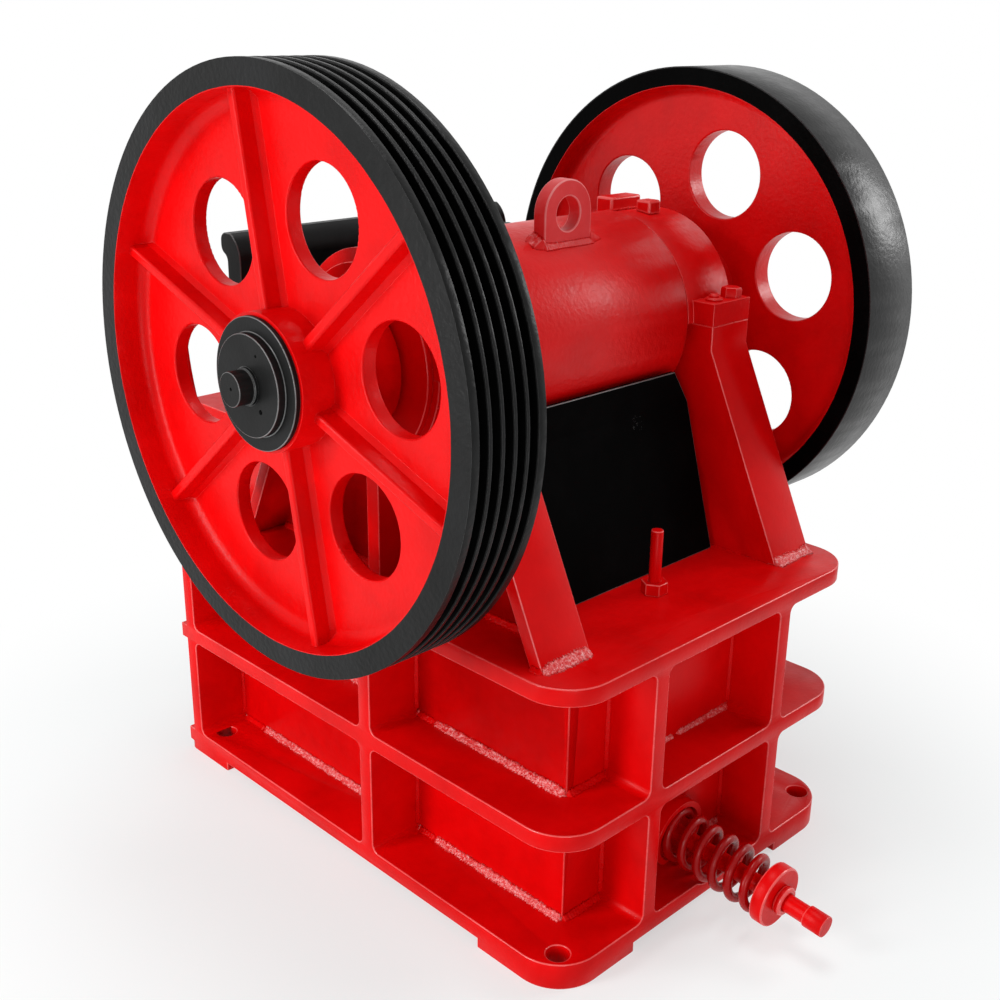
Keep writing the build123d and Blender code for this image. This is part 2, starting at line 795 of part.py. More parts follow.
# Cheek plates along both sides of the crushing chamber
cheek_front_y = fixed_face_y - cheek_jaw_gap
for name, side in SIDES.items():
    cheek_plate = slab(
        [
            (cheek_front_y, jaw_bottom_z),
            (cheek_front_y, shoulder_z),
            (front_shoulder_y, shoulder_z),
            (stand_half_depth, stand_top_z - cheek_top_drop),
            (barrel_radius, stand_top_z - cheek_top_drop),
            (seat_bottom_y - jaw_plate_thickness, jaw_bottom_z),
        ],
        low_x(side, inner_half_width - cheek_thickness, inner_half_width),
        cheek_thickness,
    )
    save(cheek_plate, f"{name}_cheek_plate")

# Black guard between the deck and the barrel: sloped sheet with an upright top edge and cut corners
guard_kink_y = guard_bottom_y + (guard_kink_z - top_flange_top) * tan(radians(guard_lean))
guard_top_y = -(((barrel_radius + guard_barrel_gap) ** 2 - guard_top_drop**2) ** 0.5) - guard_thickness
with BuildPart() as rear_guard:
    with BuildSketch(Plane.YZ.offset(-guard_half_width)):
        with BuildLine():
            Polyline(
                (guard_bottom_y, top_flange_top),
                (guard_kink_y, guard_kink_z),
                (guard_top_y, guard_top_z),
                (guard_top_y + guard_thickness, guard_top_z),
                (guard_kink_y + guard_thickness, guard_kink_z),
                (guard_bottom_y + guard_thickness, top_flange_top),
                close=True,
            )
        make_face()
    extrude(amount=2 * guard_half_width)
    for side in SIDES.values():
        with BuildSketch(Plane.XZ.offset(-guard_top_y)):
            with BuildLine():
                Polyline(
                    (side * guard_half_width, guard_top_z),
                    (side * (guard_half_width - guard_corner), guard_top_z),
                    (side * guard_half_width, guard_kink_z),
                    close=True,
                )
            make_face()
        extrude(amount=2 * guard_thickness, both=True, mode=Mode.SUBTRACT)
save(rear_guard.part, "rear_guard")

# Tension rod with seat, spring, washer and nut
washer_start = rod_seat_thickness + spring_length
nut_start = washer_start + washer_thickness
neck_start = nut_start + collar_thickness
tip_start = neck_start + rod_neck_length
rod_bore_radius = rod_radius + seat_clearance
rod_reach = pitman_back_y - rear_wall_y + (pitman_back_z - rod_wall_z) * back_slope
rod_inner_length = rod_reach / (cos(radians(rod_tilt)) + sin(radians(rod_tilt)) * back_slope) - rod_foot_gap

with BuildPart() as rod_seat:
    with BuildSketch(rod_axis_plane.offset(rod_cup_depth)):
        Circle(rod_cup_radius)
    extrude(amount=-2 * rod_cup_depth)
    with BuildSketch(rod_axis_plane.offset(rod_cup_depth)):
        Circle(rod_cup_radius - rod_cup_wall)
    extrude(amount=rod_seat_thickness - rod_cup_depth, mode=Mode.SUBTRACT)
    with BuildSketch(rod_axis_plane.offset(rod_cup_depth)):
        Circle(rod_radius + rod_hole_clearance)
    extrude(amount=-2 * rod_cup_depth, mode=Mode.SUBTRACT)
    with BuildSketch(Plane.XZ.offset(-rear_wall_y)):
        with Locations((0, rod_wall_z)):
            Rectangle(3 * rod_cup_radius, 3 * rod_cup_radius)
    extrude(amount=-2 * end_wall_thickness, mode=Mode.SUBTRACT)
    with BuildSketch(Plane.XY.offset(base_top)):
        with Locations((0, rear_wall_y)):
            Rectangle(3 * rod_cup_radius, 3 * rod_cup_radius)
    extrude(amount=-base_top, mode=Mode.SUBTRACT)
save(rod_seat.part, "rod_seat")

with BuildPart() as tension_rod:
    with BuildSketch(rod_axis_plane.offset(-rod_inner_length)):
        Circle(rod_radius)
    extrude(amount=rod_inner_length + tip_start)
    with BuildSketch(rod_axis_plane.offset(tip_start)):
        Circle(rod_tip_radius)
    extrude(amount=rod_tip_length)
save(tension_rod.part, "tension_rod")

with BuildPart() as spring_washer:
    with BuildSketch(rod_axis_plane.offset(washer_start)):
        Circle(washer_radius)
        Circle(rod_bore_radius, mode=Mode.SUBTRACT)
    extrude(amount=washer_thickness)
save(spring_washer.part, "spring_washer")

with BuildPart() as rod_nut:
    with BuildSketch(rod_axis_plane.offset(nut_start)):
        Circle(collar_radius)
        Circle(rod_bore_radius, mode=Mode.SUBTRACT)
    extrude(amount=collar_thickness)
save(rod_nut.part, "rod_nut")

coil_length = spring_length - 2 * spring_wire_radius
spring_base = rod_axis_plane.offset(rod_seat_thickness + spring_wire_radius)
with BuildPart() as tension_spring:
    with BuildLine() as coil:
        Helix(
            coil_length / spring_turns,
            coil_length,
            spring_coil_radius,
            center=spring_base.origin,
            direction=spring_base.z_dir,
        )
    with BuildSketch(Plane(origin=coil.line @ 0, z_dir=coil.line % 0)):
        Circle(spring_wire_radius)
    sweep(path=coil.line, is_frenet=True)
save(tension_spring.part, "tension_spring")

# Adjusting stud and nut on the rear deck
with BuildPart() as adjusting_stud:
    with BuildSketch(Plane.XY.offset(top_flange_top)):
        with Locations((0, stud_y)):
            Circle(stud_radius)
    extrude(amount=stud_height)
save(adjusting_stud.part, "adjusting_stud")

with BuildPart() as adjusting_nut:
    with BuildSketch(Plane.XY.offset(top_flange_top)):
        with Locations((0, stud_y)):
            RegularPolygon(nut_across_flats / 2, 6, major_radius=False)
            Circle(stud_radius + seat_clearance, mode=Mode.SUBTRACT)
    extrude(amount=nut_height)
save(adjusting_nut.part, "adjusting_nut")

# Toggle beam on the rear wall and the toggle plate behind the foot of the swing jaw
beam_y = rear_wall_y + end_wall_thickness
toggle_rear_y = beam_y + toggle_beam_depth
toggle_front_y = pitman_back_y + (pitman_back_z - toggle_z) * back_slope - toggle_clearance
toggle_beam = slab(
    [
        (beam_y, toggle_z - toggle_beam_height / 2),
        (beam_y, toggle_z + toggle_beam_height / 2),
        (toggle_rear_y, toggle_z + toggle_beam_height / 2),
        (toggle_rear_y, toggle_z - toggle_beam_height / 2),
    ],
    -inner_half_width,
    2 * inner_half_width,
)
save(toggle_beam, "toggle_beam")

toggle_plate = slab(
    [
        (toggle_rear_y, toggle_z - toggle_thickness / 2),
        (toggle_rear_y, toggle_z + toggle_thickness / 2),
        (toggle_front_y, toggle_z + toggle_thickness / 2),
        (toggle_front_y, toggle_z - toggle_thickness / 2),
    ],
    -toggle_half_width,
    2 * toggle_half_width,
)
save(toggle_plate, "toggle_plate")
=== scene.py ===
import math
import random

import bmesh
import bpy
from mathutils import Matrix, Vector, noise


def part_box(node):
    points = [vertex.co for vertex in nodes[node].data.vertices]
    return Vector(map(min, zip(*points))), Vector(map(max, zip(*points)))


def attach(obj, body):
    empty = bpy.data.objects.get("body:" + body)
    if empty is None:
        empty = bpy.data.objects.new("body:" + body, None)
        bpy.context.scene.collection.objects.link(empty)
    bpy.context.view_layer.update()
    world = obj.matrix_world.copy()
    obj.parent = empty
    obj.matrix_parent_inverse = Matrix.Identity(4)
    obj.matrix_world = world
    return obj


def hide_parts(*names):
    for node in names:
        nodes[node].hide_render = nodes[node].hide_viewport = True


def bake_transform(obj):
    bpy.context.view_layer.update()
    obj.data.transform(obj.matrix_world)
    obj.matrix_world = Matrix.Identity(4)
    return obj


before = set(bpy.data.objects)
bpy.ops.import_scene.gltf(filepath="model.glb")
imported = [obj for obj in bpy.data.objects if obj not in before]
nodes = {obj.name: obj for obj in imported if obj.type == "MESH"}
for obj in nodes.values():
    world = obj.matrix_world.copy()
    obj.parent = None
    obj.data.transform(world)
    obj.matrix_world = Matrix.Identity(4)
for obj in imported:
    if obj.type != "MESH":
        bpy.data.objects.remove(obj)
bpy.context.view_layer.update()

# Shaft line and rod line, in metres
SHAFT = Vector((0, -0.0295, 0.631))
ROD_START = Vector((0, -0.2825, 0.068))
ROD_LINE = Vector((0, -math.cos(math.radians(5)), -math.sin(math.radians(5))))
UP = Vector((0, 0, 1))

# Camera of the photograph: angles in degrees, place in metres, focal length in picture widths
CAMERA_ANGLES = (-44.69, 20.46, 0.78)
CAMERA_PLACE = Vector((-1.0769, -1.0782, 0.9748))
FOCAL_LENGTH = 1303.1 / 1000
SENSOR_WIDTH = 36

# Radii of the wheels' rims, inside and outside, and of the barrel
PULLEY_RIM = (0.279, 0.305)
FLYWHEEL_RIM = (0.263, 0.286)
BARREL_RADIUS = 0.121
GROOVES_END_X = 0.3735

# Sharp edges of the plates and the merging of the CAD meshes
SHARP_ANGLE = 38
FLAT_ANGLE = math.radians(0.4)
SAME_POINT = 0.00002
JOINED_POINT = 0.0006
PLATE_EDGE = 0.0012


def place_camera():
    azimuth, elevation, roll = (math.radians(a) for a in CAMERA_ANGLES)
    look = Vector(
        (
            -math.sin(azimuth) * math.cos(elevation),
            math.cos(azimuth) * math.cos(elevation),
            -math.sin(elevation),
        )
    )
    right = look.cross(UP).normalized()
    up = right.cross(look)
    rolled_right = right * math.cos(roll) + up * math.sin(roll)
    rolled_up = up * math.cos(roll) - right * math.sin(roll)
    data = bpy.data.cameras.new("camera")
    data.lens = SENSOR_WIDTH * FOCAL_LENGTH
    data.sensor_width = SENSOR_WIDTH
    camera = bpy.data.objects.new("camera", data)
    bpy.context.scene.collection.objects.link(camera)
    matrix = Matrix((rolled_right, rolled_up, -look)).transposed().to_4x4()
    matrix.translation = CAMERA_PLACE
    camera.matrix_world = matrix
    bpy.context.scene.camera = camera


place_camera()


# Shader helpers
def material(name):
    mat = bpy.data.materials.new(name)
    mat.use_nodes = True
    tree = mat.node_tree
    return mat, tree, tree.nodes["Principled BSDF"]


def node(tree, kind, **sockets):
    made = tree.nodes.new(kind)
    for key, value in sockets.items():
        made.inputs[key.replace("_", " ")].default_value = value
    return made


def math_node(tree, operation, first, second):
    made = tree.nodes.new("ShaderNodeMath")
    made.operation = operation
    for socket, value in zip(made.inputs, (first, second)):
        if isinstance(value, (int, float)):
            socket.default_value = value
        else:
            tree.links.new(value, socket)
    return made.outputs["Value"]


def coordinates(tree):
    return tree.nodes.new("ShaderNodeTexCoord").outputs["Object"]


def noise_fac(tree, where, scale, detail=3.0, roughness=0.55):
    made = node(tree, "ShaderNodeTexNoise", Scale=scale, Detail=detail, Roughness=roughness)
    tree.links.new(where, made.inputs["Vector"])
    return made.outputs["Fac"]


def ramp(tree, fac, stops):
    made = tree.nodes.new("ShaderNodeValToRGB")
    elements = made.color_ramp.elements
    while len(elements) < len(stops):
        elements.new(0.5)
    for element, (position, colour) in zip(elements, stops):
        element.position = position
        element.color = (*colour, 1)
    tree.links.new(fac, made.inputs["Fac"])
    return made.outputs["Color"]


def spread(tree, fac, low, high):
    made = node(tree, "ShaderNodeMapRange", To_Min=low, To_Max=high)
    tree.links.new(fac, made.inputs["Value"])
    return made.outputs["Result"]


def mix_colour(tree, fac, first, second):
    made = tree.nodes.new("ShaderNodeMix")
    made.data_type = "RGBA"
    tree.links.new(fac, made.inputs["Factor"])
    tree.links.new(first, made.inputs["A"])
    tree.links.new(second, made.inputs["B"])
    return made.outputs["Result"]


def peel(tree, shader, where, scale, strength, distance=0.0012):
    """Orange peel of thick enamel over a slightly wavy casting."""
    grain = noise_fac(tree, where, scale, 2.0, 0.5)
    bump = node(tree, "ShaderNodeBump", Strength=strength, Distance=distance)
    tree.links.new(grain, bump.inputs["Height"])
    tree.links.new(bump.outputs["Normal"], shader.inputs["Normal"])


RED = ((0.6, 0.0004, 0.0008), (0.7, 0.0006, 0.0012), (0.78, 0.001, 0.002))
DARK_RED = ((0.3, 0.0003, 0.0006), (0.38, 0.0004, 0.0008), (0.45, 0.0008, 0.0015))
# Slightly pinker red for the lifting eye's face
PINKER_RED = ((0.66, 0.012, 0.014), (0.72, 0.03, 0.033), (0.8, 0.08, 0.085))
# Pale pink for the lifting eye's bevelled edges: a painted highlight
PALE_HIGHLIGHT_TONES = ((0.78, 0.08, 0.08), (0.83, 0.2, 0.2), (0.88, 0.34, 0.34))
# Lighter red for bevelled edges: a painted highlight
RED_HIGHLIGHT_TONES = ((0.72, 0.03, 0.03), (0.82, 0.06, 0.058), (0.92, 0.12, 0.115))
BLACK = ((0.004, 0.004, 0.004), (0.007, 0.007, 0.007), (0.010, 0.010, 0.0105))
# Grey for the bevelled edges of black parts: a painted highlight
BLACK_HIGHLIGHT_TONES = ((0.05, 0.05, 0.05), (0.10, 0.10, 0.10), (0.2, 0.2, 0.2))
# Near-zero black: painted shade, in the belt grooves and on the rear guard
SHADE_BLACK = ((0.0006, 0.0006, 0.0006), (0.0009, 0.0009, 0.0009), (0.002, 0.002, 0.002))
STEEL = ((0.02, 0.02, 0.021), (0.035, 0.035, 0.036), (0.055, 0.053, 0.052))


def three_tones(tree, where, tones, scale=11.0):
    patches = noise_fac(tree, where, scale, 5.0, 0.6)
    return ramp(tree, patches, ((0.3, tones[0]), (0.5, tones[1]), (0.7, tones[2])))


def enamel(name, tones, rough, specular, scale, strength):
    """Thick enamel with uneven colour, uneven gloss and orange peel."""
    mat, tree, shader = material(name)
    where = coordinates(tree)
    tree.links.new(three_tones(tree, where, tones), shader.inputs["Base Color"])
    fine = noise_fac(tree, where, 70.0, 3.0)
    tree.links.new(spread(tree, fine, rough - 0.1, rough + 0.12), shader.inputs["Roughness"])
    shader.inputs["Specular IOR Level"].default_value = specular
    peel(tree, shader, where, scale, strength)
    return mat


plate_red = enamel("plate_red", RED, 0.34, 0.1, 230.0, 0.16)
eye_face_red = enamel("eye_face_red", PINKER_RED, 0.4, 0.3, 170.0, 0.3)
eye_edge_highlight = enamel("eye_edge_highlight", PALE_HIGHLIGHT_TONES, 0.4, 0.3, 170.0, 0.3)
cast_red = enamel("cast_red", RED, 0.36, 0.25, 170.0, 0.42)
# The edge materials below are lighter than the faces: painted highlights on the bevels
red_edge_highlight = enamel("red_edge_highlight", RED_HIGHLIGHT_TONES, 0.26, 0.5, 230.0, 0.1)
satin_black = enamel("satin_black", BLACK, 0.4, 0.1, 260.0, 0.1)
black_edge_highlight = enamel("black_edge_highlight", BLACK_HIGHLIGHT_TONES, 0.3, 0.5, 260.0, 0.1)
worn_steel = enamel("worn_steel", STEEL, 0.5, 0.5, 300.0, 0.5)


def weld_with_painted_glints():
    """Enamel over rough weld metal, with fine pale glints painted into the red as highlights."""
    mat, tree, shader = material("weld_glint_red")
    where = coordinates(tree)
    red = three_tones(tree, where, RED)
    glint = noise_fac(tree, where, 330.0, 4.0, 0.8)
    # Pale pink stops: painted highlights standing in for glints
    stops = ((0.46, (0.7, 0.004, 0.006)), (0.53, (0.84, 0.16, 0.16)), (0.6, (0.92, 0.5, 0.5)))
    pale = ramp(tree, glint, stops)
    share = spread(tree, noise_fac(tree, where, 45.0, 2.0), 0.3, 1.0)
    tree.links.new(mix_colour(tree, share, red, pale), shader.inputs["Base Color"])
    shader.inputs["Roughness"].default_value = 0.3
    shader.inputs["Specular IOR Level"].default_value = 0.5
    peel(tree, shader, where, 520.0, 0.6, 0.0016)
    return mat


weld_glint_red = weld_with_painted_glints()


def flecked_shade_black():
    """Black plate darkened almost to zero as painted shade, with a few pale scuffs."""
    mat, tree, shader = material("flecked_shade_black")
    where = coordinates(tree)
    dark = three_tones(tree, where, SHADE_BLACK)
    cells = node(tree, "ShaderNodeTexVoronoi", Scale=16.0, Randomness=1.0)
    tree.links.new(where, cells.inputs["Vector"])
    torn = noise_fac(tree, where, 320.0, 4.0, 0.8)
    near = math_node(tree, "LESS_THAN", cells.outputs["Distance"], 0.16)
    rough_part = math_node(tree, "GREATER_THAN", torn, 0.62)
    split = tree.nodes.new("ShaderNodeSeparateColor")
    tree.links.new(cells.outputs["Color"], split.inputs["Color"])
    rare = math_node(tree, "GREATER_THAN", split.outputs["Red"], 0.8)
    speck = math_node(tree, "MULTIPLY", math_node(tree, "MULTIPLY", near, rough_part), rare)
    pale = node(tree, "ShaderNodeRGB")
    pale.outputs[0].default_value = (0.12, 0.12, 0.12, 1)
    tree.links.new(mix_colour(tree, speck, dark, pale.outputs[0]), shader.inputs["Base Color"])
    shader.inputs["Roughness"].default_value = 0.5
    shader.inputs["Specular IOR Level"].default_value = 0.01
    peel(tree, shader, where, 260.0, 0.1)
    return mat


guard_shade_black = flecked_shade_black()


def two_tone(name, rim, reds, blacks, specular, strength):
    """Red web and hub inside a hand-painted black rim, with painted shade in the belt grooves."""
    rim_bore, rim_radius = rim
    mat, tree, shader = material(name)
    where = coordinates(tree)
    split = tree.nodes.new("ShaderNodeSeparateXYZ")
    tree.links.new(where, split.inputs["Vector"])
    flat = tree.nodes.new("ShaderNodeCombineXYZ")
    tree.links.new(math_node(tree, "SUBTRACT", split.outputs["Y"], SHAFT.y), flat.inputs["X"])
    tree.links.new(math_node(tree, "SUBTRACT", split.outputs["Z"], SHAFT.z), flat.inputs["Y"])
    length = tree.nodes.new("ShaderNodeVectorMath")
    length.operation = "LENGTH"
    tree.links.new(flat.outputs["Vector"], length.inputs[0])
    radius = length.outputs["Value"]
    waver = spread(tree, noise_fac(tree, where, 40.0, 2.0), -0.0004, 0.0004)
    wavy_radius = math_node(tree, "ADD", radius, waver)
    painted = math_node(tree, "GREATER_THAN", wavy_radius, rim_bore + 0.0006)
    sunk = math_node(tree, "LESS_THAN", radius, rim_radius - 0.0016)
    away = math_node(tree, "ABSOLUTE", split.outputs["X"], 0)
    inner = math_node(tree, "LESS_THAN", away, GROOVES_END_X)
    groove = math_node(tree, "MULTIPLY", math_node(tree, "MULTIPLY", sunk, inner), painted)
    red = three_tones(tree, where, reds)
    paint_black = three_tones(tree, where, blacks)
    # Inside the grooves the black turns to near-zero black: painted shade of the recesses
    black = mix_colour(tree, groove, paint_black, three_tones(tree, where, SHADE_BLACK))
    tree.links.new(mix_colour(tree, painted, red, black), shader.inputs["Base Color"])
    fine = noise_fac(tree, where, 70.0, 3.0)
    tree.links.new(spread(tree, fine, 0.26, 0.42), shader.inputs["Roughness"])
    open_face = math_node(tree, "SUBTRACT", 1.0, groove)
    tree.links.new(spread(tree, open_face, 0.02, specular), shader.inputs["Specular IOR Level"])
    peel(tree, shader, where, 170.0, strength)
    return mat


# Mesh helpers
def new_object(name, mesh, body, mats):
    obj = bpy.data.objects.new(name, mesh)
    bpy.context.scene.collection.objects.link(obj)
    for mat in mats:
        mesh.materials.append(mat)
    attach(obj, body)
    return obj


def smooth(mesh):
    mesh.polygons.foreach_set("use_smooth", [True] * len(mesh.polygons))


def round_edges(obj, width, segments=2):
    """Bevel of the plate edges; the bevel takes the second material, a lighter colour that is a
    painted highlight along the edge.
    """
    weld = obj.modifiers.new("weld", "WELD")
    weld.merge_threshold = SAME_POINT
    flat = obj.modifiers.new("flat", "DECIMATE")
    flat.decimate_type = "DISSOLVE"
    flat.angle_limit = FLAT_ANGLE
    bevel = obj.modifiers.new("bevel", "BEVEL")
    bevel.width = width
    bevel.segments = segments
    bevel.limit_method = "ANGLE"
    bevel.angle_limit = math.radians(SHARP_ANGLE)
    bevel.use_clamp_overlap = True
    bevel.material = 1
    bevel.harden_normals = True


def paint(obj, mat, edge):
    # The parameter edge is the bevels' material: a lighter colour painted as a highlight
    obj.data.materials.clear()
    obj.data.materials.append(mat)
    obj.data.materials.append(edge)


def clean(shell, distance):
    """Merges near points and takes out the edges inside flat faces."""
    bmesh.ops.remove_doubles(shell, verts=shell.verts, dist=distance)
    bmesh.ops.dissolve_limit(shell, angle_limit=FLAT_ANGLE, verts=shell.verts, edges=shell.edges)


def union(name, names, body, mats, width):
    """One welded piece out of flush CAD plates, so that no seam shows between them."""
    whole = None
    for part_name in names:
        mesh = nodes[part_name].data.copy()
        shell = bmesh.new()
        shell.from_mesh(mesh)
        clean(shell, SAME_POINT)
        shell.to_mesh(mesh)
        shell.free()
        obj = bpy.data.objects.new(f"{name}_{part_name}", mesh)
        bpy.context.scene.collection.objects.link(obj)
        if whole is None:
            whole = obj
            continue
        join = whole.modifiers.new("join", "BOOLEAN")
        join.operation = "UNION"
        join.solver = "EXACT"
        join.object = obj
        graph = bpy.context.evaluated_depsgraph_get()
        joined = bpy.data.meshes.new_from_object(whole.evaluated_get(graph))
        whole.modifiers.clear()
        whole.data = joined
        bpy.data.objects.remove(obj)
    mesh = whole.data
    bpy.data.objects.remove(whole)
    shell = bmesh.new()
    shell.from_mesh(mesh)
    clean(shell, JOINED_POINT)
    weight = shell.edges.layers.float.new("bevel_weight_edge")
    for edge in shell.edges:
        pair = len(edge.link_faces) == 2
        if pair and edge.calc_face_angle_signed() > math.radians(SHARP_ANGLE):
            edge[weight] = 1.0
    shell.to_mesh(mesh)
    shell.free()
    mesh.materials.clear()
    smooth(mesh)
    piece = new_object(name, mesh, body, mats)
    bevel = piece.modifiers.new("bevel", "BEVEL")
    bevel.width = width
    bevel.segments = 2
    bevel.limit_method = "WEIGHT"
    bevel.use_clamp_overlap = False
    bevel.material = 1
    bevel.harden_normals = True
    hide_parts(*names)


class Beads:
    """Collects weld beads, each a closed rippled roll laid in the corner between two faces."""

    def __init__(self, seed):
        self.mesh = bmesh.new()
        self.random = random.Random(seed)

    def add(self, start, end, along_a, along_b, size, fade=0.0, lumps=0.16, height=None):
        """Bead from start to end; it covers size along face a and height along face b."""
        start, end = Vector(start), Vector(end)
        along_a, along_b = Vector(along_a).normalized(), Vector(along_b).normalized()
        height = height or size
        length = (end - start).length
        count = max(6, int(length / 0.0014))
        offset = Vector([self.random.uniform(0, 50) for _ in range(3)])
        pitch = self.random.uniform(0.0032, 0.0042)
        arc = 7
        rings = []
        for index in range(count + 1):
            t = index / count
            place = start.lerp(end, t)
            wander = noise.noise(offset + place * 60)
            ripple = math.sin(2 * math.pi * t * length / pitch + 1.5 * wander)
            taper = min(1.0, 0.35 + index / 3, 0.35 + (count - index) / 3)
            grow = 1 - fade + fade * min(1.0, t * 1.6)
            scale = taper * grow * (1 + lumps * wander + 0.12 * ripple)
            ring = [self.mesh.verts.new(place - (along_a + along_b) * 0.0004)]
            for step in range(arc):
                turn = math.pi / 2 * step / (arc - 1)
                rough = 1 + 0.22 * noise.noise(offset + place * 400 + Vector((step * 0.7, 0, 0)))
                swell = scale * rough * 0.9 / (math.cos(turn) + math.sin(turn))
                reach_a = along_a * (size * swell * math.cos(turn))
                reach_b = along_b * (height * swell * math.sin(turn))
                ring.append(self.mesh.verts.new(place + reach_a + reach_b))
            rings.append(ring)
        for first, second in zip(rings, rings[1:]):
            for index in range(arc + 1):
                after = (index + 1) % (arc + 1)
                self.mesh.faces.new((first[index], first[after], second[after], second[index]))
        self.mesh.faces.new(list(reversed(rings[0])))
        self.mesh.faces.new(rings[-1])

    def finish(self, name, body, mat):
        bmesh.ops.recalc_face_normals(self.mesh, faces=self.mesh.faces)
        mesh = bpy.data.meshes.new(name)
        self.mesh.to_mesh(mesh)
        self.mesh.free()
        smooth(mesh)
        new_object(name, mesh, body, [mat])


# Which finish each CAD piece takes
wheel_red = two_tone("pulley_two_tone", PULLEY_RIM, RED, BLACK, 0.12, 0.4)
# The edge versions go on the bevels, with lighter tones as painted highlights
pulley_highlit_edge = two_tone("pulley_painted_edge_highlight", PULLEY_RIM, RED_HIGHLIGHT_TONES, BLACK_HIGHLIGHT_TONES, 0.5, 0.1)
fly_red = two_tone("flywheel_two_tone", FLYWHEEL_RIM, RED, BLACK, 0.3, 0.4)
flywheel_highlit_edge = two_tone("flywheel_painted_edge_highlight", FLYWHEEL_RIM, RED_HIGHLIGHT_TONES, BLACK_HIGHLIGHT_TONES, 0.5, 0.1)
BLACK_NODES = (
    "pulley_end_cap",
    "flywheel_end_cap",
    "feed_lip",
    "jaw_clamp_bar",
    "eccentric_shaft",
)
STEEL_NODES = (
    "fixed_jaw_plate",
    "moving_jaw_plate",
    "left_cheek_plate",
    "right_cheek_plate",
    "toggle_plate",
)
CAST_NODES = (
    "pitman",
    "left_bearing_cap",
    "right_bearing_cap",
    "left_bearing_base",
    "right_bearing_base",
)
ROUND_NODES = {
    "lifting_eye": (0.0045, 3),
    "cap_fittings": (0.003, 3),
    "spring_washer": (0.002, 2),
    "rod_nut": (0.003, 2),
    "tension_rod": (0.0018, 2),
    "adjusting_stud": (0.0012, 2),
    "adjusting_nut": (0.0012, 2),
    "pulley": (0.0014, 2),
    "flywheel": (0.0014, 2),
    "pulley_end_cap": (0.0009, 2),
    "flywheel_end_cap": (0.0009, 2),
    "eccentric_shaft": (0.0008, 2),
    "fixed_jaw_plate": (0.0025, 2),
    "moving_jaw_plate": (0.0025, 2),
    "pitman": (0.002, 2),
    "left_bearing_cap": (0.0018, 2),
    "right_bearing_cap": (0.0018, 2),
}
for name, obj in nodes.items():
    if name == "pulley":
        paint(obj, wheel_red, pulley_highlit_edge)
    elif name == "flywheel":
        paint(obj, fly_red, flywheel_highlit_edge)
    elif name == "rear_guard":
        # The rear guard: black plate darkened further as painted shade
        paint(obj, guard_shade_black, black_edge_highlight)
    elif name == "lifting_eye":
        # The eye's pale bevel colour is a painted highlight
        paint(obj, eye_face_red, eye_edge_highlight)
    elif name in BLACK_NODES:
        paint(obj, satin_black, black_edge_highlight)
    elif name in STEEL_NODES:
        paint(obj, worn_steel, black_edge_highlight)
    elif name in CAST_NODES:
        paint(obj, cast_red, red_edge_highlight)
    else:
        paint(obj, plate_red, red_edge_highlight)
    if name != "tension_spring":
        width, segments = ROUND_NODES.get(name, (0.0011, 2))
        round_edges(obj, width, segments)

# Flush plates that are welded and ground into one
union(
    "box_grid",
    ("base_flange", "middle_flange", "top_flange", "side_ribs", "end_ribs"),
    "frame",
    [plate_red, red_edge_highlight],
    PLATE_EDGE,
)
union(
    "box_body",
    (
        "left_side_wall",
        "right_side_wall",
        "rear_wall",
        "front_wall",
        "left_bearing_base",
        "left_rear_brace",
        "left_front_brace",
        "right_bearing_base",
        "right_rear_brace",
        "right_front_brace",
    ),
    "frame",
    [plate_red, red_edge_highlight],
    PLATE_EDGE,
)

# Planes of the box frame
wall_low, wall_high = (Vector(c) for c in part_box("right_side_wall"))
flange_high = Vector(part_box("base_flange")[1])
middle_low, middle_high = (Vector(c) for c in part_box("middle_flange"))
top_low, top_high = (Vector(c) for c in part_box("top_flange"))
brace_low, brace_high = (Vector(c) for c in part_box("right_rear_brace"))
wall_x = wall_high.x
wall_in = wall_low.x
rear_y = Vector(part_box("rear_wall")[0]).y
front_y = Vector(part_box("front_wall")[1]).y
front_rib = wall_high.y - 0.02
RIB = 0.010
END_RIB = 0.111
tiers = ((flange_high.z, middle_low.z), (middle_high.z, top_low.z))
stand_slope = Vector((0, 0.115, 0.241))


